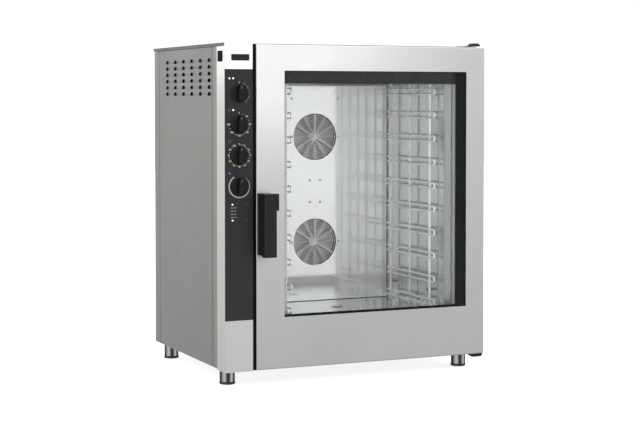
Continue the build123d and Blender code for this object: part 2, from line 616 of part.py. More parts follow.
def knob(z):
    """Dial knob: skirt, tapered drum, pointed grip bar and moulded spindle."""
    base_y = -OVERLAY_T - 0.6
    skirt = rod_y(DIAL_X, (base_y - 5, base_y), z, DIAL_R)
    skirt = chamfer(skirt.edges().filter_by(GeomType.CIRCLE).group_by(Axis.Y)[0], 1.8)
    outline = Polygon((0, 27), (7, 17), (8.5, -22), (0, -27), (-8.5, -22), (-7, 17), align=None)
    grip = extrude(Rot(90, 0, 0) * outline, 17, dir=(0, -1, 0))
    grip = fillet(grip.edges().group_by(Axis.Y)[0], 1.6)
    body = skirt + at(DIAL_X, base_y - 4, z) * grip
    return body + rod_y(DIAL_X, (base_y - 1, 26), z, DIAL_SPINDLE_R)


def control_switches():
    """Four rotary switches bored for the knob spindles, and two push switches, behind the column's face."""
    blocks = [
        span((BUTTON_X - 9, BUTTON_X + 9), (SHEET + 5.6, SHEET + 20), (z - 9, z + 9)) for z in BUTTON_Z
    ]
    for z in DIAL_Z:
        block = span((DIAL_X - 21, DIAL_X + 21), (SHEET + 1, 40), (z - 21, z + 21))
        block = chamfer(block.edges().filter_by(Axis.Y), 6)
        blocks.append(block - rod_y(DIAL_X, (0, 28), z, DIAL_SPINDLE_R + RUNNING))
    return blocks


def push_button(z):
    """Round push button with a wider foot behind the column's face."""
    cap = rod_y(BUTTON_X, (-OVERLAY_T - 1.6, SHEET + 3), z, BUTTON_R)
    cap = fillet(cap.edges().filter_by(GeomType.CIRCLE).group_by(Axis.Y)[0], 0.8)
    return cap + rod_y(BUTTON_X, (SHEET + 1, SHEET + 4), z, BUTTON_R + 4)


def status_leds():
    """Round indicator lenses in the overlay."""
    lenses = [rod_y(x, (-OVERLAY_T - 0.8, SHEET + 4), z, LED_R) for x, z in LED_PLACES]
    return [fillet(lens.edges().filter_by(GeomType.CIRCLE).group_by(Axis.Y)[0], 0.7) for lens in lenses]


def badge_plate():
    """Plain dark plate at the top of the column, with no mark on it."""
    x, z = (BADGE_X - 30, BADGE_X + 30), (BADGE_Z - 10, BADGE_Z + 10)
    return rounded_y(x, (-1.6, -0.05), z, 3)


def side_port_cap():
    """Black push-in cap in the column's left return."""
    x = COLUMN_X[0]
    cap = span((x - 1.2, x - 0.05), (17, 58), PORT_Z)
    cap = fillet(cap.edges().filter_by(Axis.X), 5)
    return cap + span((x - 0.1, x + 8), (20.3, 54.7), grow(PORT_Z, -3.3))


def column_trim():
    """Black edge strip on the column beside the door."""
    return span((COLUMN_X[1] + 0.05, DOOR_X[0] - 1), (0.5, FRONT_D - 6), (2, 1032))


# ---------------------------------------------------------------- door
def door_skin():
    """Folded front pan with the window cut-out, and holes for the pivots and the handle."""
    depth = DOOR_D - 2
    bend_r = 3.2
    pan = span(DOOR_X, (0, depth), DOOR_Z)
    pan = fillet(pan.edges().group_by(Axis.Y)[0], bend_r)
    hollow = span(grow(DOOR_X, -SKIN), (SKIN, depth + 1), grow(DOOR_Z, -SKIN))
    pan -= fillet(hollow.edges().group_by(Axis.Y)[0], bend_r - SKIN)
    pan -= rounded_y(WINDOW_X, (-1, SKIN + 1), WINDOW_Z, 1.5)
    for end in DOOR_Z:
        pan -= rod_z(PIVOT_X, PIVOT_Y, (end - 3, end + 3), PIN_R + 1)
    return pan - rod_y(HANDLE_X, (-1, SKIN + 1), HANDLE_AXIS_Z, SPINDLE_R + 2)


def outer_glass():
    y = (SKIN + 0.3, SKIN + 5.3)
    return rounded_y(grow(WINDOW_X, 11), y, grow(WINDOW_Z, 11), 6)


def door_liner():
    """Inner stainless frame that closes the door's back and holds the inner pane."""
    y = (DOOR_D - SHEET, DOOR_D)
    x, z = grow(DOOR_X, -0.2), grow(DOOR_Z, -0.2)
    liner = frame_plate(x, z, grow(BORDER_X, 4), grow(BORDER_Z, 4), y, corner=6)
    return liner - rod_y(HANDLE_X, grow(y, 1), HANDLE_AXIS_Z, SPINDLE_R + 2)


def glass_border():
    """Black border bonded to the front of the inner pane."""
    return frame_plate(PANE_X, PANE_Z, BORDER_X, BORDER_Z, (DOOR_D - 8, DOOR_D - 7), corner=3)


def inner_glass():
    return rounded_y(PANE_X, (DOOR_D - 6.9, DOOR_D - 2.4), PANE_Z, 6)


def hinge_bushes():
    """Bearing blocks in the door's top and bottom right corners."""
    blocks = []
    for z in ((DOOR_Z[0] + 2, DOOR_Z[0] + 30), (DOOR_Z[1] - 30, DOOR_Z[1] - 2)):
        block = span((PIVOT_X - 16, PIVOT_X + 16), (PIVOT_Y - 16, PIVOT_Y + 16), z)
        block = fillet(block.edges().filter_by(Axis.Z), 3)
        blocks.append(block - rod_z(PIVOT_X, PIVOT_Y, grow(z, 1), PIN_R + RUNNING))
    return blocks


def hinge_arm(x, z):
    """Flat arm that carries one pivot, rounded at its front end and cut out round the foot."""
    arm = span(x, HINGE_ARM_Y, z)
    arm = fillet(arm.edges().filter_by(Axis.Z).group_by(Axis.Y)[0], 8)
    return arm - rod_z(FOOT_X, FOOT_Y[0], grow(z, 1), FOOT_R + 1.5)


def hinge_brackets():
    """Steel arms bolted over the roof and under the base tray, each with its welded pivot pin."""
    roof = hinge_arm(ROOF_ARM_X, ROOF_ARM_Z)
    roof += rod_z(PIVOT_X, PIVOT_Y, (DOOR_Z[1] - 26, ROOF_ARM_Z[0] + 2), PIN_R)
    base = hinge_arm(BASE_ARM_X, BASE_ARM_Z)
    base += rod_z(PIVOT_X, PIVOT_Y, (BASE_ARM_Z[1] - 2, DOOR_Z[0] + 26), PIN_R)
    return [roof, base]


def hinge_caps():
    """Black covers with sloping sides over the front ends of the two pivot arms."""
    caps = []
    for x, y, z, outer, arm_x, arm_z in (
        ((428, 456), (14, 46), (BODY_H + 0.3, BODY_H + 10.5), -1, ROOF_ARM_X, ROOF_ARM_Z),
        ((427, 466), (8, 42), (-11.5, -0.3), 0, BASE_ARM_X, BASE_ARM_Z),
    ):
        cap = chamfer(span(x, y, z).edges().group_by(Axis.Z)[outer], 5)
        caps.append(cap - span(grow(arm_x, 0.2), grow(HINGE_ARM_Y, 0.2), grow(arm_z, 0.15)))
    return caps


def latch_strike():
    """Forked catch on the body's face, just behind the path of the latch arm."""
    y, middle_z = (FRONT_D - 6.3, FRONT_D - 0.1), HANDLE_AXIS_Z - LATCH_REACH
    plate = span((HANDLE_X - 26, HANDLE_X + 26), (y[1] - 2, y[1]), (middle_z - 9, middle_z + 9))
    lip_z = (middle_z - 7, middle_z + 7)
    lips = [span((HANDLE_X + dx - 3, HANDLE_X + dx + 3), y, lip_z) for dx in (-20, 20)]
    return plate + lips


def latch_arm():
    """Spindle through the door with the latch arm behind the liner."""
    arm_y = (DOOR_D + 1.5, DOOR_D + 7.5)
    arm = rod_y(HANDLE_X, arm_y, HANDLE_AXIS_Z, 13)
    arm += span((HANDLE_X - 7, HANDLE_X + 7), arm_y, (HANDLE_AXIS_Z - LATCH_REACH, HANDLE_AXIS_Z))
    arm += rod_y(HANDLE_X, arm_y, HANDLE_AXIS_Z - LATCH_REACH, 7)
    return arm + rod_y(HANDLE_X, (-HANDLE_PROUD + 9, DOOR_D + 2), HANDLE_AXIS_Z, SPINDLE_R)


def handle_base():
    """Black housing on the door behind the lever, open to the right and bored for the spindle."""
    left, wall, back = HANDLE_X - HUB_W / 2, 9.0, 6.0
    x, y = (left, left + LEVER_W), (-BASE_D, -0.05)
    housing = rounded_y(x, y, (LEVER_BOTTOM + 4, HUB_Z[1]), 3)
    recess = span((left + wall, x[1] + 1), (y[0] - 1, -back), (LEVER_BOTTOM + 16, HUB_Z[0] - 6))
    recess = fillet(recess.edges().filter_by(Axis.Y).sort_by(Axis.X)[:2], 6)
    return housing - recess - rod_y(HANDLE_X, grow(y, 1), HANDLE_AXIS_Z, SPINDLE_R + RUNNING)


def handle_lever():
    """Hub block and the hanging grip, in front of the housing."""
    y = (-HANDLE_PROUD, -BASE_D - 0.3)
    hub = span((HANDLE_X - HUB_W / 2, HANDLE_X + HUB_W / 2), y, HUB_Z)
    hub = fillet(hub.edges().group_by(Axis.Y)[0], 2.5)
    grip_left = HANDLE_X - HUB_W / 2
    grip = span((grip_left, grip_left + LEVER_W), y, (LEVER_BOTTOM, HUB_Z[0] + 6))
    grip = fillet(grip.edges().group_by(Axis.Y)[0].filter_by(Axis.Z), 4)
    grip = fillet(grip.edges().group_by(Axis.Z)[0], 2)
    lever = hub + grip
    return lever - rod_y(HANDLE_X, (-HANDLE_PROUD + 8, 0), HANDLE_AXIS_Z, SPINDLE_R + RUNNING)


# ---------------------------------------------------------------- fasteners
def panel_screws():
    """Pan-head screws: baffle, fan guards and rear panel."""
    head_h, head_r = 1.6, 4.0
    screws = []
    for x, z in baffle_screw_places():
        on_guard = abs(abs(x - CHAMBER_MID) - GUARD_R - 7) < 1
        front = BAFFLE_Y - 3.0 if on_guard else BAFFLE_Y - 0.1
        head = fillet(rod_y(x, (front - head_h, front), z, head_r).edges().group_by(Axis.Y)[0], 0.9)
        screws.append(head + rod_y(x, (front - 0.5, BAFFLE_Y + 8), z, 2.4))
    for x in (-440, -150, 150, 440):
        for z in (30, 1000):
            rear = BODY_D + 0.1
            head = rod_y(x, (rear, rear + head_h), z, head_r)
            screws.append(fillet(head.edges().group_by(Axis.Y)[-1], 0.9))
    return screws


def write_parts():
    os.makedirs("parts", exist_ok=True)
    save(chassis_frame(), "chassis_frame")
    save(front_frame(), "front_frame")
    save(side_panel(-1, louvred=True), "left_side_panel")
    save(side_panel(1, louvred=False), "right_side_panel")
    save(rear_panel(), "rear_panel")
    save(top_cover(), "top_cover")
    for name, x, y in (
        ("foot_front_left", -FOOT_X, FOOT_Y[0]),
        ("foot_front_right", FOOT_X, FOOT_Y[0]),
        ("foot_rear_left", -FOOT_X, FOOT_Y[1]),
        ("foot_rear_right", FOOT_X, FOOT_Y[1]),
    ):
        save(foot(x, y), name)
    save(chamber(), "chamber")
    save(insulation(), "insulation")
    save(fan_baffle(), "fan_baffle")
    save(fan_guard(FAN_Z[0]) + fan_guard(FAN_Z[1]), "fan_guards")
    save(fan_wheel(FAN_Z[0]), "fan_wheel_upper")
    save(fan_wheel(FAN_Z[1]), "fan_wheel_lower")
    save([fan_motor(z) for z in FAN_Z], "fan_motors")
    save([heating_coil(z) for z in FAN_Z], "heating_coils")
    save([water_injector(z) for z in FAN_Z], "water_injectors")
    save(rack(-1), "rack_left")
    save(rack(1), "rack_right")
    save(rack_studs(), "rack_studs")
    save(door_gasket(), "door_gasket")
    save(lamps(), "chamber_lamps")
    save(drain_pipe(), "drain_pipe")
    save(vent_pipe(), "vent_pipe")
    save(vent_flap(), "vent_flap")
    save(vent_actuator(), "vent_actuator")
    save(water_valve(), "water_valve")
    save(cable_gland(), "cable_gland")
    save(contactors(), "contactors")
    save(control_board(), "control_board")
    save(cooling_fan_housing(), "cooling_fan_housing")
    save(cooling_fan_rotor(), "cooling_fan_rotor")
    save(column_panel(), "column_panel")
    save(control_overlay(), "control_overlay")
    for name, z in zip(DIAL_NAMES, DIAL_Z):
        save(knob(z), f"knob_{name}")
    save(control_switches(), "control_switches")
    save(push_button(BUTTON_Z[0]), "button_upper")
    save(push_button(BUTTON_Z[1]), "button_lower")
    save(status_leds(), "status_leds")
    save(badge_plate(), "badge_plate")
    save(side_port_cap(), "side_port_cap")
    save(column_trim(), "column_trim")
    save(door_skin(), "door_skin")
    save(outer_glass(), "outer_glass")
    save(door_liner(), "door_liner")
    save(glass_border(), "glass_border")
    save(inner_glass(), "inner_glass")
    save(hinge_bushes(), "hinge_bushes")
    save(hinge_brackets(), "hinge_brackets")
    save(hinge_caps(), "hinge_caps")
    save(latch_strike(), "latch_strike")
    save(latch_arm(), "latch_arm")
    save(handle_base(), "handle_base")
    save(handle_lever(), "handle_lever")
    save(panel_screws(), "panel_screws")


write_parts()
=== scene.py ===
"""Looks of the combi steamer: procedural materials on every CAD node, dial print, and a studio.

Metres, in the CAD's own frame: X right, Y back, Z up, seen from the front. Places and sizes of what is added
here come from the boxes of the CAD nodes. Colours are linear, from 0 to 1.
"""

import math

import bpy
from mathutils import Matrix, Vector


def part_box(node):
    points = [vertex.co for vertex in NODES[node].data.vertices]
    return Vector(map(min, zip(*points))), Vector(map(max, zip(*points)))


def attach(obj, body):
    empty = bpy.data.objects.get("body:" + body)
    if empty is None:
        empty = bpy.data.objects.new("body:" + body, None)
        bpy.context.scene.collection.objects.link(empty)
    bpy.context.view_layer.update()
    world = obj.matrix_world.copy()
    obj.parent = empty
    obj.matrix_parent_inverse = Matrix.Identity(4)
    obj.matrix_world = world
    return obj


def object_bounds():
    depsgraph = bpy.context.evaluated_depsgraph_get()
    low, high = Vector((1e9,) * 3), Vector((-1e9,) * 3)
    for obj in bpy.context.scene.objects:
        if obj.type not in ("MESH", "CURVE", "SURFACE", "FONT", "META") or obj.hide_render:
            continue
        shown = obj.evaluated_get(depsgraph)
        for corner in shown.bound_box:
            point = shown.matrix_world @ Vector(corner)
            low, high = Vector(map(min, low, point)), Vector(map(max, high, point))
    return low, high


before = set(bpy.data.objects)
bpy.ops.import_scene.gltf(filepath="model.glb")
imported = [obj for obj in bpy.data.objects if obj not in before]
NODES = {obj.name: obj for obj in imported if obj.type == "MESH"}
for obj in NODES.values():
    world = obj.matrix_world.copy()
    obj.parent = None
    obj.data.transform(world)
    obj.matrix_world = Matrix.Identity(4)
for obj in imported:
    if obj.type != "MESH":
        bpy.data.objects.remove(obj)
cad_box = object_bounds()

MM = 0.001
FACE_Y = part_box("door_skin")[0].y
COLUMN_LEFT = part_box("column_panel")[0].x
INK = 0.04 * MM   # thickness of the print
PRINT_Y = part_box("control_overlay")[0].y - 0.05 * MM   # the print's back, just off the face film


# ---------------------------------------------------------------- node helpers
NOISE_LOW, NOISE_HIGH = 0.3, 0.7   # most values of a noise lie between these
EDGE_AGREEMENT = 0.75   # how far the rounded direction still follows the true one on a full edge
BEVEL_SAMPLES = 4


class Graph:
    """A short way to write a material's node tree."""

    def __init__(self, name):
        self.material = bpy.data.materials.new(name)
        self.material.use_nodes = True
        self.tree = self.material.node_tree
        self.tree.nodes.clear()
        self.out = self.add("ShaderNodeOutputMaterial")

    def add(self, kind, inputs=None, **settings):
        """Adds a node. inputs are numbers, colours or other nodes' outputs, and settings are its options."""
        node = self.tree.nodes.new(kind)
        for key, value in settings.items():
            setattr(node, key, value)
        for key, value in (inputs or {}).items():
            self.feed(node.inputs[key], value)
        return node

    def feed(self, socket, value):
        """Links an output to a socket, or writes a number or a colour into it."""
        if isinstance(value, bpy.types.NodeSocket):
            self.tree.links.new(value, socket)
        elif socket.type == "RGBA" and not hasattr(value, "__len__"):
            socket.default_value = (value, value, value, 1)
        elif socket.type == "RGBA":
            socket.default_value = (*value, 1)
        else:
            socket.default_value = value

    def place(self):
        """Position in the oven's frame, in metres."""
        return self.add("ShaderNodeTexCoord").outputs["Object"]

    def stretched(self, scale):
        """Position, scaled by a different number along each axis."""
        return self.add("ShaderNodeMapping", {"Vector": self.place(), "Scale": scale}).outputs["Vector"]

    def noise(self, vector, scale, detail=4.0, roughness=0.55):
        """Smooth noise. scale is in features per metre where vector is a position."""
        inputs = {"Vector": vector, "Scale": scale, "Detail": detail, "Roughness": roughness}
        return self.add("ShaderNodeTexNoise", inputs).outputs["Fac"]

    def spread(self, value, from_low, from_high, to_low, to_high):
        """Maps one range to another and holds the result inside it."""
        inputs = {"Value": value, "From Min": from_low, "From Max": from_high}
        inputs.update({"To Min": to_low, "To Max": to_high})
        return self.add("ShaderNodeMapRange", inputs).outputs["Result"]

    def vary(self, noise, low, high):
        """Values from low to high that follow a noise."""
        return self.spread(noise, NOISE_LOW, NOISE_HIGH, low, high)

    def part_of(self, vector, axis):
        """The X, Y or Z part of a vector."""
        return self.add("ShaderNodeSeparateXYZ", {0: vector}).outputs[axis]

    def geometry(self, name):
        """The surface's own direction, as "Normal" or "True Normal"."""
        return self.add("ShaderNodeNewGeometry").outputs[name]

    def math(self, operation, a, b=0.0):
        node = self.add("ShaderNodeMath", operation=operation)
        self.feed(node.inputs[0], a)
        self.feed(node.inputs[1], b)
        return node.outputs[0]

    def mix(self, factor, a, b):
        """Colour a where factor is 0 and colour b where it is 1."""
        node = self.add("ShaderNodeMix", data_type="RGBA")
        self.feed(node.inputs["Factor"], factor)
        self.feed(node.inputs["A"], a)
        self.feed(node.inputs["B"], b)
        return node.outputs["Result"]

    def bump(self, height, strength, distance, normal=None):
        """Relief of a height map, on top of an earlier relief if one is given."""
        inputs = {"Height": height, "Strength": strength, "Distance": distance}
        if normal is not None:
            inputs["Normal"] = normal
        return self.add("ShaderNodeBump", inputs).outputs["Normal"]

    def edge(self, radius):
        """1 on sharp outer and inner edges, 0 on flats."""
        rounded = self.add("ShaderNodeBevel", {"Radius": radius}, samples=BEVEL_SAMPLES).outputs["Normal"]
        inputs = {0: rounded, 1: self.geometry("True Normal")}
        agreement = self.add("ShaderNodeVectorMath", inputs, operation="DOT_PRODUCT").outputs["Value"]
        return self.spread(agreement, 1.0, EDGE_AGREEMENT, 0.0, 1.0)

    def surface(self, **inputs):
        """Ends the tree in a Principled shader. Keys are its input names with _ for a space."""
        named = {key.replace("_", " "): value for key, value in inputs.items()}
        shader = self.add("ShaderNodeBsdfPrincipled", named)
        self.tree.links.new(shader.outputs[0], self.out.inputs["Surface"])
        return self.material


FINE, LONG = 1500.0, 14.0   # brushing: lines per metre across the grain, and breaks per metre along it
GRAIN_X = (LONG, FINE, FINE)
GRAIN_Y = (FINE, LONG, FINE)
GRAIN_Z = (FINE, FINE, LONG)


# ---------------------------------------------------------------- materials
def brushed_steel(name, tone, rough, grain=GRAIN_Z, marks=0.5):
    """Satin sheet: fine brushing along one axis, faint clouds of handling, brighter rubbed edges.

    marks is how deep the brushing is cut.
    """
    g = Graph(name)
    brushing = g.noise(g.stretched(grain), 1.0, detail=6.0, roughness=0.75)
    clouds = g.noise(g.place(), 5.0, detail=5.0)
    rubbed = g.edge(1.5 * MM)
    lines = g.vary(brushing, 0.965, 1.03)
    shade = g.math("ADD", lines, g.vary(clouds, -0.02, 0.02))
    color = g.mix(shade, (0, 0, 0), tone)
    color = g.mix(g.math("MULTIPLY", rubbed, 0.35), color, (0.93, 0.93, 0.92))
    roughness = g.math("ADD", g.spread(brushing, 0.25, 0.75, rough - 0.02, rough + 0.03),
                       g.spread(clouds, 0.35, 0.65, -0.05, 0.05))
    relief = g.bump(brushing, 0.06 * marks, 0.2 * MM)
    relief = g.bump(clouds, 0.02, 2 * MM, relief)
    return g.surface(Base_Color=color, Metallic=1.0, Roughness=roughness, Normal=relief)


def polished_steel(name, tone, rough, mirror=1.0):
    """Bright annealed sheet: a soft mirror with slow waves, water stains and fine wipe marks.

    mirror is below 1 where the sheet is made partly matt, so part of its tone shows as plain colour; on the
    fan baffle that pale matt share is painted light.
    """
    g = Graph(name)
    waves = g.noise(g.place(), 3.0, detail=1.0)
    stains = g.noise(g.place(), 9.0, detail=5.0)
    wipes = g.noise(g.stretched((90.0, 90.0, 700.0)), 1.0, detail=3.0)
    roughness = g.math("ADD", g.spread(stains, 0.4, 0.7, rough, rough + 0.05),
                       g.spread(wipes, 0.4, 0.7, 0.0, 0.02))
    color = g.mix(g.spread(stains, 0.5, 0.8, 0.0, 0.3), tone, tuple(0.93 * c for c in tone))
    relief = g.bump(waves, 0.05, 4 * MM)
    return g.surface(Base_Color=color, Metallic=mirror, Roughness=roughness, Normal=relief)


def wire_steel(name):
    """Round wire painted near-white and mostly matt, painted light that makes it read lighter than the
    chamber wall, with slight orange peel and darker weld tint.
    """
    g = Graph(name)
    peel = g.noise(g.place(), 500.0, detail=2.0)
    tint = g.noise(g.place(), 22.0, detail=2.0)
    # Painted light: the near-white wire colour stands in for lamp light on the wires; the darker patches are
    # weld tint.
    color = g.mix(g.spread(tint, 0.6, 0.8, 0.0, 0.3), (0.97, 0.98, 0.98), (0.72, 0.68, 0.61))
    return g.surface(Base_Color=color, Metallic=0.2, Roughness=g.vary(peel, 0.36, 0.5),
                     Normal=g.bump(peel, 0.08, 0.1 * MM))


def galvanised_steel(name):
    """Zinc-coated sheet with spangle."""
    g = Graph(name)
    cells = g.add("ShaderNodeTexVoronoi", {"Vector": g.place(), "Scale": 85.0}).outputs["Color"]
    spangle = g.add("ShaderNodeSeparateColor", {"Color": cells}).outputs[0]
    color = g.mix(spangle, (0.42, 0.43, 0.44), (0.60, 0.61, 0.63))
    return g.surface(Base_Color=color, Metallic=1.0, Roughness=g.spread(spangle, 0, 1, 0.32, 0.48),
                     Normal=g.bump(spangle, 0.05, 0.1 * MM))


def moulded_plastic(name, tone, rough, grain=0.25, worn=(0.16, 0.16, 0.165), shine=0.3):
    """Spark-eroded moulding grain, faint finger grease and slightly paler rubbed edges."""
    g = Graph(name)
    pits = g.noise(g.place(), 1900.0, detail=3.0)
    grease = g.noise(g.place(), 28.0, detail=4.0)
    rubbed = g.edge(1.0 * MM)
    color = g.mix(g.vary(grease, 0.0, 1.0), tone, tuple(1.25 * c for c in tone))
    color = g.mix(g.math("MULTIPLY", rubbed, 0.3), color, worn)
    roughness = g.math("ADD", g.spread(grease, 0.35, 0.7, rough + 0.05, rough - 0.07),
                       g.vary(pits, -0.04, 0.04))
    return g.surface(Base_Color=color, Roughness=roughness, Specular_IOR_Level=shine,
                     Normal=g.bump(pits, grain, 0.12 * MM))


def face_film(name, tone):
    """Satin printed polyester film with a fine texture and a few wipe marks."""
    g = Graph(name)
    texture = g.noise(g.place(), 2600.0, detail=2.0)
    wipes = g.noise(g.stretched((40.0, 40.0, 9.0)), 1.0, detail=4.0)
    color = g.mix(g.spread(wipes, 0.35, 0.7, 0.0, 1.0), tone, tuple(1.15 * c for c in tone))
    roughness = g.vary(wipes, 0.38, 0.5)
    return g.surface(Base_Color=color, Roughness=roughness, Specular_IOR_Level=0.35,
                     Normal=g.bump(texture, 0.12, 0.06 * MM))


def gloss_black(name, tone):
    """Glossy enamel with orange peel and dust."""
    g = Graph(name)
    peel = g.noise(g.place(), 260.0, detail=1.0)
    dust = g.noise(g.place(), 900.0, detail=6.0)
    color = g.mix(g.spread(dust, 0.62, 0.8, 0.0, 0.6), tone, (0.08, 0.08, 0.08))
    roughness = g.spread(dust, 0.4, 0.8, 0.12, 0.35)
    return g.surface(Base_Color=color, Roughness=roughness, Specular_IOR_Level=0.25,
                     Normal=g.bump(peel, 0.06, 0.15 * MM))


def window_glass(name):
    """Thin sheet glass: nearly clear, with a faint mirror coat by angle, streaks and green cut edges."""
    g = Graph(name)
    tint, cut_green, haze_share = (0.990, 0.993, 0.992), (0.25, 0.48, 0.38), 0.003
    streaks = g.noise(g.stretched((16.0, 16.0, 3.0)), 1.0, detail=5.0)
    facing_front = g.math("ABSOLUTE", g.part_of(g.geometry("True Normal"), "Y"))
    cut = g.math("LESS_THAN", facing_front, 0.5)
    through = g.add("ShaderNodeBsdfTransparent", {"Color": g.mix(cut, tint, cut_green)}).outputs[0]
    roughness = g.spread(streaks, 0.4, 0.8, 0.02, 0.14)
    gloss = g.add("ShaderNodeBsdfGlossy", {"Color": (0.9, 0.95, 0.93), "Roughness": roughness}).outputs[0]
    haze = g.add("ShaderNodeBsdfDiffuse", {"Color": (0.8, 0.85, 0.83)}).outputs[0]
    fresnel = g.add("ShaderNodeFresnel", {"IOR": 1.45}).outputs[0]
    mirror = g.math("MULTIPLY", fresnel, 0.2)
    coat = g.add("ShaderNodeMixShader", {0: mirror, 1: through, 2: gloss}).outputs[0]
    film = g.spread(streaks, 0.45, 0.8, haze_share, 2.5 * haze_share)
    both = g.add("ShaderNodeMixShader", {0: film, 1: coat, 2: haze}).outputs[0]
    g.tree.links.new(both, g.out.inputs["Surface"])
    return g.material


def lamp_glass(name):
    """Ribbed frosted lamp lens in its ground rim."""
    g = Graph(name)
    inputs = {"Vector": g.place(), "Scale": 90.0, "Distortion": 0.5}
    ribs = g.add("ShaderNodeTexWave", inputs, bands_direction="Z").outputs["Fac"]
    return g.surface(Base_Color=(0.93, 0.94, 0.9), Roughness=0.28, Transmission_Weight=0.45, IOR=1.45,
                     Normal=g.bump(ribs, 0.3, 0.6 * MM))


def silicone(name, tone, talc):
    """Soft extrusion with talc bloom."""
    g = Graph(name)
    bloom = g.noise(g.place(), 45.0, detail=6.0)
    color = g.mix(g.spread(bloom, 0.45, 0.75, 0.0, 0.5), tone, talc)
    return g.surface(Base_Color=color, Roughness=g.vary(bloom, 0.5, 0.7),
                     Normal=g.bump(g.noise(g.place(), 700.0), 0.15, 0.1 * MM))


def mineral_wool(name):
    """Matted yellow-brown fibres in layers."""
    g = Graph(name)
    fibres = g.noise(g.stretched((60.0, 60.0, 420.0)), 1.0, detail=8.0, roughness=0.8)
    clumps = g.noise(g.place(), 35.0, detail=5.0)
    color = g.mix(fibres, (0.30, 0.24, 0.10), (0.74, 0.66, 0.40))
    color = g.mix(g.spread(clumps, 0.4, 0.7, 0.0, 0.5), color, (0.55, 0.46, 0.25))
    return g.surface(Base_Color=color, Roughness=0.95, Sheen_Weight=0.3,
                     Normal=g.bump(fibres, 0.8, 2 * MM))


def heat_tinted_tube(name):
    """Sheathed heating element with straw and blue temper colours and soot."""
    g = Graph(name)
    heat = g.noise(g.place(), 14.0, detail=3.0)
    soot = g.noise(g.place(), 160.0, detail=6.0)
    color = g.mix(g.spread(heat, 0.35, 0.65, 0.0, 1.0), (0.36, 0.27, 0.17), (0.20, 0.21, 0.27))
    color = g.mix(g.spread(soot, 0.5, 0.8, 0.0, 0.8), color, (0.07, 0.065, 0.06))
    return g.surface(Base_Color=color, Metallic=0.9, Roughness=g.vary(soot, 0.35, 0.6),
                     Normal=g.bump(soot, 0.15, 0.2 * MM))


def enamel(name, tone):
    """Sprayed paint with orange peel and chipped, darker edges."""
    g = Graph(name)
    peel = g.noise(g.place(), 320.0, detail=2.0)
    dirt = g.noise(g.place(), 18.0, detail=6.0)
    color = g.mix(g.spread(dirt, 0.45, 0.75, 0.0, 0.4), tone, tuple(0.6 * c for c in tone))
    color = g.mix(g.math("MULTIPLY", g.edge(1.2 * MM), 0.5), color, (0.30, 0.30, 0.29))
    return g.surface(Base_Color=color, Roughness=g.vary(dirt, 0.34, 0.5),
                     Normal=g.bump(peel, 0.1, 0.2 * MM))


def brass(name):
    """Machined brass with turning marks and brown tarnish."""
    g = Graph(name)
    turning = g.noise(g.stretched((20.0, 2200.0, 20.0)), 1.0, detail=2.0)
    tarnish = g.noise(g.place(), 60.0, detail=6.0)
    color = g.mix(g.spread(tarnish, 0.4, 0.75, 0.0, 0.7), (0.74, 0.56, 0.26), (0.33, 0.22, 0.10))
    return g.surface(Base_Color=color, Metallic=1.0, Roughness=g.vary(tarnish, 0.22, 0.42),
                     Normal=g.bump(turning, 0.1, 0.1 * MM))


def circuit_board(name):
    """Green laminate with tracks, and dark components standing proud of it."""
    g = Graph(name)
    inputs = {"Vector": g.place(), "Scale": 38.0, "Mortar Size": 0.03, "Color1": (0.02, 0.14, 0.06),
              "Color2": (0.03, 0.17, 0.08), "Mortar": (0.10, 0.30, 0.14)}
    tracks = g.add("ShaderNodeTexBrick", inputs).outputs["Color"]
    laminate_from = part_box("control_board")[1].x - 16 * MM
    proud = g.math("LESS_THAN", g.part_of(g.place(), "X"), laminate_from)
    grain = g.noise(g.place(), 800.0)
    color = g.mix(proud, tracks, (0.03, 0.03, 0.035))
    return g.surface(Base_Color=color, Roughness=g.vary(grain, 0.35, 0.5),
                     Normal=g.bump(grain, 0.1, 0.1 * MM))


def foot_finish(name):
    """Chromed sleeve with painted reflection in upright light and dark bands, set by the way its surface
    faces, above a black rubber shoe that has picked up floor dust.
    """
    g = Graph(name)
    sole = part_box("foot_front_left")[0].z
    shoe_top, dust_top = sole + 9 * MM, sole + 8 * MM
    height = g.part_of(g.place(), "Z")
    across = g.part_of(g.geometry("Normal"), "X")
    # Painted reflection: the chrome's colour swings between dark and bright with the sideways part of the
    # surface's direction, as upright bands.
    streak = g.math("SINE", g.math("MULTIPLY", across, 7.0))
    metal = g.math("GREATER_THAN", height, shoe_top)
    pits = g.noise(g.place(), 1200.0, detail=3.0)
    dust = g.noise(g.place(), 70.0, detail=5.0)
    dirty_foot = g.spread(height, sole, dust_top, 0.5, 0.0)
    black = g.mix(g.math("MULTIPLY", dirty_foot, dust), (0.012, 0.012, 0.012), (0.16, 0.15, 0.14))
    chrome = g.mix(g.spread(streak, -0.4, 0.9, 0.0, 1.0), (0.07, 0.07, 0.07), (0.80, 0.80, 0.80))
    color = g.mix(metal, black, chrome)
    rough = g.mix(metal, g.vary(dust, 0.5, 0.65), g.vary(dust, 0.12, 0.22))
    return g.surface(Base_Color=color, Metallic=metal, Roughness=rough, Normal=g.bump(pits, 0.08, 0.1 * MM))


def led_lens(name):
    """Small moulded lenses: white ones, and one blue one between the two lowest dials."""
    g = Graph(name)
    height = g.part_of(g.place(), "Z")
    above = g.math("GREATER_THAN", height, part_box("knob_humidity")[1].z)
    below = g.math("LESS_THAN", height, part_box("knob_timer")[0].z)
    blue = g.math("MULTIPLY", above, below)
    facets = g.add("ShaderNodeTexVoronoi", {"Vector": g.place(), "Scale": 1500.0}).outputs["Distance"]
    glow = g.mix(blue, (0.85, 0.9, 1.0), (0.03, 0.19, 0.62))
    lens = g.mix(blue, (0.8, 0.82, 0.84), (0.05, 0.18, 0.5))
    return g.surface(Base_Color=lens, Roughness=0.25,
                     Emission_Color=glow, Emission_Strength=g.spread(facets, 0.0, 0.6, 0.25, 0.5))


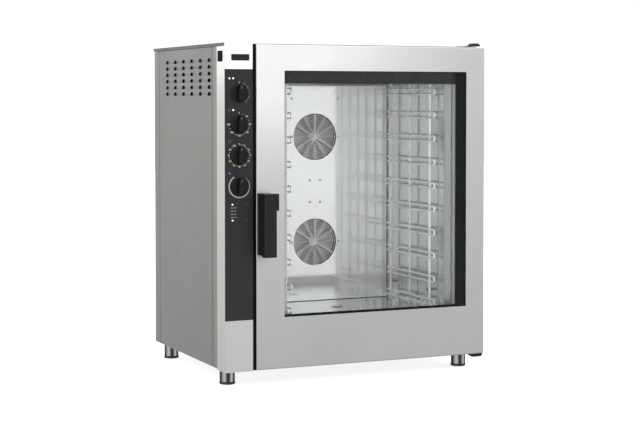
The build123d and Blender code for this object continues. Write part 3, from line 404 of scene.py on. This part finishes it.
def print_ink(name, tone):
    """Screen-printed ink: slightly broken cover over the film."""
    g = Graph(name)
    pinholes = g.noise(g.place(), 2400.0, detail=2.0)
    color = g.mix(g.spread(pinholes, 0.55, 0.8, 0.0, 0.5), tone, tuple(0.5 * c for c in tone))
    return g.surface(Base_Color=color, Roughness=0.55, Normal=g.bump(pinholes, 0.1, 0.03 * MM))


def floor_finish(name):
    """Seamless pale studio floor with a barely visible tooth, glowing a little to meet the backdrop."""
    g = Graph(name)
    tooth = g.noise(g.place(), 40.0, detail=4.0)
    color = g.mix(tooth, (0.90, 0.90, 0.90), (0.93, 0.93, 0.93))
    return g.surface(Base_Color=color, Roughness=0.9, Specular_IOR_Level=0.1, Emission_Color=(1, 1, 1),
                     Emission_Strength=0.75)


# ---------------------------------------------------------------- finish for every CAD node
FEET = ["foot_front_left", "foot_front_right", "foot_rear_left", "foot_rear_right"]
KNOBS = ["knob_mode", "knob_temperature", "knob_timer", "knob_humidity"]


def dress(nodes, material):
    """Gives the named CAD nodes one finish."""
    for name in nodes:
        mesh = NODES[name].data
        mesh.materials.clear()
        mesh.materials.append(material)


def dress_sheet_metal():
    # Painted shade: the side and rear panels get a darker tone than the same stainless on the front, for
    # sides turned away from the light.
    dress(["left_side_panel", "right_side_panel", "rear_panel"],
          brushed_steel("side_steel_painted_shade", (0.435, 0.427, 0.407), 0.36, GRAIN_Z, marks=0.6))
    # Painted shade: the top cover's steel is toned far darker than the other sheet, for its shaded edge.
    dress(["top_cover"], brushed_steel("roof_steel_painted_shade", (0.26, 0.255, 0.245), 0.38, GRAIN_X))
    dress(["front_frame"], brushed_steel("inner_steel", (0.46, 0.45, 0.43), 0.3, GRAIN_Z))
    dress(["door_liner"], brushed_steel("liner_steel", (0.80, 0.80, 0.80), 0.3, GRAIN_Z))
    # Painted light: the control column's steel gets a near-white tone, brighter than the door's, for the
    # light it catches.
    dress(["column_panel"], brushed_steel("column_steel_painted_light", (0.92, 0.92, 0.915), 0.38, GRAIN_Z, marks=0.5))
    dress(["door_skin"], brushed_steel("door_steel", (0.785, 0.78, 0.77), 0.33, GRAIN_Z, marks=0.15))
    dress(["hinge_brackets", "latch_strike", "latch_arm", "drain_pipe", "vent_pipe", "vent_flap",
           "water_injectors"], brushed_steel("bracket_steel", (0.62, 0.62, 0.61), 0.3, GRAIN_Y))
    dress(["fan_wheel_upper", "fan_wheel_lower"],
          brushed_steel("wheel_steel", (0.80, 0.81, 0.81), 0.6, GRAIN_X))
    dress(["panel_screws", "rack_studs"], brushed_steel("screw_steel", (0.32, 0.32, 0.315), 0.28, GRAIN_X))
    dress(["chassis_frame"], galvanised_steel("zinc_sheet"))


def dress_chamber():
    dress(["chamber"], polished_steel("chamber_steel", (0.57, 0.585, 0.585), 0.18, mirror=0.85))
    # Painted light: the baffle gets a near-white tone, half of it matt colour, far paler than the chamber's
    # same steel, for the light it shows.
    dress(["fan_baffle"], polished_steel("baffle_steel_painted_light", (0.92, 0.93, 0.925), 0.05, mirror=0.5))
    dress(["rack_left", "rack_right", "fan_guards"], wire_steel("wire_painted_light"))
    dress(["insulation"], mineral_wool("wool"))
    dress(["heating_coils"], heat_tinted_tube("element_tube"))
    dress(["chamber_lamps"], lamp_glass("lamp_lens"))


def dress_mouldings():
    near_black, black, darkest = (0.008,) * 3, (0.004,) * 3, (0.002,) * 3
    dress(["vent_actuator", "contactors", "control_switches"],
          moulded_plastic("grey_moulding", (0.20, 0.21, 0.22), 0.5))
    dress(["cooling_fan_housing", "cooling_fan_rotor", "cable_gland", "hinge_bushes", "hinge_caps"],
          moulded_plastic("black_fitting", near_black, 0.5, worn=(0.07,) * 3))
    dress(["side_port_cap", "column_trim"],
          moulded_plastic("black_trim", darkest, 0.6, grain=0.1, worn=(0.01,) * 3, shine=0.08))
    dress(["handle_base", "handle_lever"],
          moulded_plastic("handle_black", near_black, 0.42, grain=0.15, worn=(0.06,) * 3))
    dress(KNOBS, moulded_plastic("knob_black", black, 0.34, grain=0.1, worn=(0.05,) * 3))


def dress_control_panel():
    dress(["control_overlay"], face_film("overlay_dark", (0.015, 0.015, 0.0155)))
    dress(["button_upper", "button_lower"], face_film("button_dark", (0.022, 0.022, 0.023)))
    dress(["badge_plate"], gloss_black("badge_gloss", (0.012, 0.012, 0.014)))
    dress(["status_leds"], led_lens("led"))


def dress_door_glass():
    dress(["glass_border"], gloss_black("fired_border", (0.002, 0.002, 0.002)))
    dress(["outer_glass"], window_glass("outer_pane"))
    dress(["inner_glass"], window_glass("inner_pane"))
    dress(["door_gasket"], silicone("seal_rubber", (0.42, 0.43, 0.43), (0.55, 0.55, 0.55)))


def dress_fittings():
    dress(["fan_motors"], enamel("motor_enamel", (0.035, 0.037, 0.04)))
    dress(["water_valve"], brass("valve_brass"))
    dress(["control_board"], circuit_board("board"))
    dress(FEET, foot_finish("foot"))


# ---------------------------------------------------------------- print on the control panel
def knob_centre(node):
    """The x and z of a dial's middle."""
    low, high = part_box(node)
    return (low.x + high.x) / 2, (low.z + high.z) / 2


def add_mesh(name, verts, faces, material, body):
    """A new piece that rides on a body of the frame."""
    mesh = bpy.data.meshes.new(name)
    mesh.from_pydata(verts, [], faces)
    mesh.materials.append(material)
    piece = bpy.data.objects.new(name, mesh)
    bpy.context.scene.collection.objects.link(piece)
    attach(piece, body)
    return piece


def dial_point(centre, radius, angle):
    """A point on a clock face: 0 degrees at the top, going clockwise seen from the front."""
    turn = math.radians(angle)
    return centre[0] + radius * math.sin(turn), centre[1] + radius * math.cos(turn)


def arc_points(centre, radius, start, end, steps):
    """Evenly spaced points on a clock face, both ends among them."""
    return [dial_point(centre, radius, start + (end - start) * k / steps) for k in range(steps + 1)]


def slab(outline, back_y, front_y):
    """Points and faces of a thin slab over a closed outline of x, z points."""
    count = len(outline)
    verts = [(x, back_y, z) for x, z in outline] + [(x, front_y, z) for x, z in outline]
    faces = [list(range(count)), list(range(2 * count - 1, count - 1, -1))]
    faces += [[(k + 1) % count, k, count + k, count + (k + 1) % count] for k in range(count)]
    return verts, faces


class Print:
    """Collects flat ink shapes on the face film into one thin mesh."""

    DOT_SIDES = 12
    ARC_STEP = 9   # degrees

    def __init__(self):
        self.verts, self.faces = [], []

    def shape(self, outline):
        """Adds a closed outline of x, z points as a slab of ink."""
        first = len(self.verts)
        verts, faces = slab(outline, PRINT_Y, PRINT_Y - INK)
        self.verts += verts
        self.faces += [[first + k for k in face] for face in faces]

    def dot(self, centre, radius):
        last = 360 - 360 / self.DOT_SIDES
        self.shape(arc_points(centre, radius, 0, last, self.DOT_SIDES - 1))

    def arc(self, centre, radius, start, end, wide, narrow):
        """A curved stroke whose width goes from wide to narrow."""
        steps = max(2, round(abs(end - start) / self.ARC_STEP))
        for k in range(steps):
            bounds = [(start + (end - start) * (k + j) / steps, wide + (narrow - wide) * (k + j) / steps)
                      for j in (0, 1)]
            inner = [dial_point(centre, radius - width / 2, angle) for angle, width in bounds]
            outer = [dial_point(centre, radius + width / 2, angle) for angle, width in reversed(bounds)]
            self.shape(inner + outer)

    def bar(self, x, z, width, height):
        """An upright rectangle from its lower left corner."""
        self.shape([(x, z), (x + width, z), (x + width, z + height), (x, z + height)])

    def build(self, name, material):
        """Makes the collected shapes one piece on the cabinet."""
        piece = add_mesh(name, self.verts, self.faces, material, "cabinet")
        return piece


MARK_R = 34 * MM   # radius of the marks round a dial


def mode_print():
    """A dot at the top and two pale violet arcs down the right, with a dim band between them."""
    centre = knob_centre("knob_mode")
    dot_r, line, line_end, band_width = 2.2 * MM, 1.2 * MM, 0.5 * MM, 6 * MM
    arcs = Print()
    arcs.arc(centre, MARK_R, 20, 55, line, line)
    arcs.arc(centre, MARK_R, 118, 145, line, line_end)
    for angle in (24, 60, 112, 138):
        arcs.dot(dial_point(centre, MARK_R, angle), dot_r)
    arcs.build("print_mode_dial", print_ink("ink_violet", (0.16, 0.15, 0.26)))
    band = Print()
    band.arc(centre, MARK_R, 68, 106, band_width, band_width)
    band.build("print_mode_band", print_ink("ink_band", (0.025, 0.025, 0.06)))
    top = Print()
    top.dot((centre[0], centre[1] + MARK_R), dot_r)
    top.build("print_mode_top", print_ink("ink_mode_top", (0.40, 0.40, 0.44)))


def scale_print(node, name, labels, sweep, joined):
    """Numbers round a dial from the top clockwise, dots between them, and a line joining some of them."""
    dot_r, line, number_size = 1.5 * MM, 1.3 * MM, 7.5 * MM
    centre = knob_centre(node)
    step = sweep / (len(labels) - 1)
    ink = Print()
    for k in range(len(labels) - 1):
        ink.dot(dial_point(centre, MARK_R, (k + 0.5) * step), dot_r)
    ink.arc(centre, MARK_R, joined[0], joined[1], line, line)
    ink.build(f"print_{name}", print_ink(f"ink_{name}", (0.30, 0.30, 0.30)))
    numerals(centre, name, labels, step, number_size)


def humidity_print():
    """A ring round the lowest dial, thick on the left and thin at its end on the right."""
    radius, thick, middle, thin = 34.5 * MM, 4.6 * MM, 3.9 * MM, 0.6 * MM
    left_end, turning, right_end = 330, 130, 35
    centre = knob_centre("knob_humidity")
    ink = Print()
    ink.arc(centre, radius, left_end, turning, thick, middle)
    ink.arc(centre, radius, turning, right_end, middle, thin)
    ink.build("print_humidity_dial", print_ink("ink_grey", (0.30, 0.30, 0.295)))


def numerals(centre, name, labels, step, size):
    """Generic numbers round a dial, one every step degrees."""
    material = print_ink(f"ink_{name}_numbers", (0.50, 0.50, 0.50))
    upright = Matrix.Rotation(math.radians(90), 4, "X")
    half_ink, outward, boldness = INK / 2, 1.5 * MM, 0.15 * MM
    for k, label in enumerate(labels):
        x, z = dial_point(centre, MARK_R + outward, k * step)
        curve = bpy.data.curves.new(f"{name}_{k}", "FONT")
        curve.body = label
        curve.size = size
        curve.align_x, curve.align_y = "CENTER", "CENTER"
        curve.extrude = half_ink
        curve.offset = boldness
        curve.materials.append(material)
        piece = bpy.data.objects.new(f"{name}_{k}", curve)
        bpy.context.scene.collection.objects.link(piece)
        piece.matrix_world = Matrix.Translation((x, PRINT_Y - half_ink, z)) @ upright
        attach(piece, "cabinet")


def symbol_print():
    """Blank bars between the two buttons, and a small ring at the upper left of each of two dials."""
    rows, margin, bar_drop, bar_height = 4, 10 * MM, 2 * MM, 3.2 * MM
    bars = ((-7 * MM, 9 * MM), (3.5 * MM, 8 * MM))   # where each bar of a row starts, and its width
    ring_aside, ring_above, ring_r, ring_line = 33 * MM, 44.5 * MM, 3.2 * MM, 0.9 * MM
    ink = Print()
    top, bottom = ((low.z + high.z) / 2 for low, high in (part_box("button_upper"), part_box("button_lower")))
    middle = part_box("status_leds")[0].x + 13 * MM
    for row in range(rows):
        z = top - margin - row * (top - bottom - 2 * margin) / (rows - 1) - bar_drop
        for start, width in bars:
            ink.bar(middle + start, z, width, bar_height)
    for node in ("knob_temperature", "knob_timer"):
        centre = knob_centre(node)
        ink.arc((centre[0] - ring_aside, centre[1] + ring_above), ring_r, 0, 360, ring_line, ring_line)
    ink.build("print_symbols", print_ink("ink_dim", (0.16, 0.16, 0.16)))


def pointer_marks():
    """A faint pale line near the top of each dial's grip, let into its front."""
    half, start, end = 0.9 * MM, 14 * MM, 23 * MM
    inset, proud = 0.3 * MM, 0.1 * MM
    material = print_ink("ink_pointer", (0.15, 0.15, 0.15))
    for node in KNOBS:
        grip_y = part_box(node)[0].y
        x, z = knob_centre(node)
        outline = [(x - half, z + start), (x + half, z + start), (x + half, z + end), (x - half, z + end)]
        verts, faces = slab(outline, grip_y + inset, grip_y - proud)
        body = node.replace("knob_", "") + "_knob"
        piece = add_mesh(f"pointer_{node}", verts, faces, material, body)


# ---------------------------------------------------------------- studio
def studio_world():
    """White for the camera. Metal sees a bright front, a darker back and a darker ground.

    Behind the door's two panes the studio counts as brighter, as if the chamber's own lamps were on.
    """
    backdrop, lamps_on = 1.05, 1.68
    first_pane, last_pane = 2.0, 4.0
    world = bpy.data.worlds.new("studio")
    bpy.context.scene.world = world
    world.use_nodes = True
    nodes, links = world.node_tree.nodes, world.node_tree.links
    nodes.clear()

    def add(kind, **settings):
        node = nodes.new(kind)
        for key, value in settings.items():
            setattr(node, key, value)
        return node

    def ramp(source, low, high, to_low, to_high):
        node = add("ShaderNodeMapRange", interpolation_type="SMOOTHSTEP")
        for key, value in (("From Min", low), ("From Max", high), ("To Min", to_low), ("To Max", to_high)):
            node.inputs[key].default_value = value
        links.new(source, node.inputs["Value"])
        return node.outputs["Result"]

    def product(first, second):
        node = add("ShaderNodeMath", operation="MULTIPLY")
        links.new(first, node.inputs[0])
        links.new(second, node.inputs[1])
        return node.outputs[0]

    ray = add("ShaderNodeSeparateXYZ")
    links.new(add("ShaderNodeTexCoord").outputs["Generated"], ray.inputs[0])
    front_to_back = ramp(ray.outputs["Y"], -0.2, 0.7, 0.80, 0.78)
    ground_to_sky = ramp(ray.outputs["Z"], -0.45, 0.30, 0.45, 1.12)
    light_path = add("ShaderNodeLightPath")
    behind_glass = ramp(light_path.outputs["Transparent Depth"], first_pane, last_pane, 1.0, lamps_on)
    seen_by_metal = product(product(front_to_back, ground_to_sky), behind_glass)
    strength = add("ShaderNodeMix", data_type="FLOAT")
    links.new(light_path.outputs["Is Camera Ray"], strength.inputs["Factor"])
    links.new(seen_by_metal, strength.inputs["A"])
    strength.inputs["B"].default_value = backdrop
    background = add("ShaderNodeBackground")
    background.inputs["Color"].default_value = (1.0, 1.0, 1.0, 1)
    links.new(strength.outputs["Result"], background.inputs["Strength"])
    links.new(background.outputs[0], add("ShaderNodeOutputWorld").inputs["Surface"])


def softbox(name, place, target, size, power):
    """A rectangular light of size (width, height) that the camera doesn't see."""
    light = bpy.data.lights.new(name, "AREA")
    light.shape = "RECTANGLE"
    light.size, light.size_y = size
    light.energy = power
    lamp = bpy.data.objects.new(name, light)
    lamp.location = place
    lamp.rotation_euler = (Vector(target) - Vector(place)).to_track_quat("-Z", "Y").to_euler()
    lamp.visible_camera = False
    bpy.context.scene.collection.objects.link(lamp)
    return lamp


def only_on(lamp, nodes):
    """Keeps a light off everything but the named nodes, so no card shows where it shouldn't."""
    group = bpy.data.collections.new(f"{lamp.name}_receivers")
    for name in nodes:
        group.objects.link(NODES[name])
    lamp.light_linking.receiver_collection = group


def studio_lights():
    """Two wide soft lights, and two cards that light only the steel of the front."""
    middle = ((cad_box[0][0] + cad_box[1][0]) / 2, FACE_Y + 0.3, 0.6)
    return_edge = (COLUMN_LEFT, FACE_Y, 1.0)
    behind_left = (COLUMN_LEFT - 0.55, FACE_Y + 1.4, 1.45)
    edge_card = softbox("edge_card", behind_left, return_edge, (1.0, 0.9), 2.0)
    only_on(edge_card, ["column_panel"])
    softbox("key_left", (-2.4, FACE_Y - 2.2, 2.6), middle, (2.2, 2.2), 18)
    softbox("top_fill", (0.2, FACE_Y + 0.2, 3.4), middle, (3.0, 3.0), 25)
    door_top = (0.15, FACE_Y, 1.40)
    before_door = (0.15, FACE_Y - 1.3, 1.40)
    door_card = softbox("door_card", before_door, door_top, (1.2, 1.3), 3.2)
    only_on(door_card, ["door_skin", "column_panel"])


def studio_floor():
    """A wide floor under the feet that metal doesn't mirror."""
    half = 14.0
    corners = [(-half, -half, 0), (half, -half, 0), (half, half, 0), (-half, half, 0)]
    mesh = bpy.data.meshes.new("floor")
    mesh.from_pydata(corners, [], [(0, 1, 2, 3)])
    mesh.materials.append(floor_finish("floor"))
    floor = bpy.data.objects.new("floor", mesh)
    floor.location.z = cad_box[0][2]
    bpy.context.scene.collection.objects.link(floor)
    floor.visible_glossy = False


def camera():
    """A long lens at the left front, a little below the roof's height, with the lens shifted down."""
    lens_mm, shift, distance = 87.8, -0.0957, 4.562
    left, height = -2.189, 0.912
    tilt_down, turn_right = 1.96, 24.19
    view = bpy.data.cameras.new("camera")
    view.sensor_width = 36.0
    view.lens = lens_mm
    view.shift_y = shift
    place = bpy.data.objects.new("camera", view)
    place.location = (left, FACE_Y - distance, height)
    place.rotation_euler = (math.radians(90 - tilt_down), 0, math.radians(-turn_right))
    bpy.context.scene.collection.objects.link(place)
    bpy.context.scene.camera = place


TEMPERATURES = ("0", "60", "90", "120", "150", "200", "250")
MINUTES = ("0", "5", "10", "15", "20", "30", "40", "50", "60", "75", "90", "120")

dress_sheet_metal()
dress_chamber()
dress_mouldings()
dress_control_panel()
dress_door_glass()
dress_fittings()
mode_print()
scale_print("knob_temperature", "temperature_dial", TEMPERATURES, sweep=270, joined=(95, 200))
scale_print("knob_timer", "timer_dial", MINUTES, sweep=330, joined=(0, 95))
humidity_print()
symbol_print()
pointer_marks()
studio_world()
studio_lights()
studio_floor()
camera()
bpy.context.scene.view_settings.view_transform = "Standard"
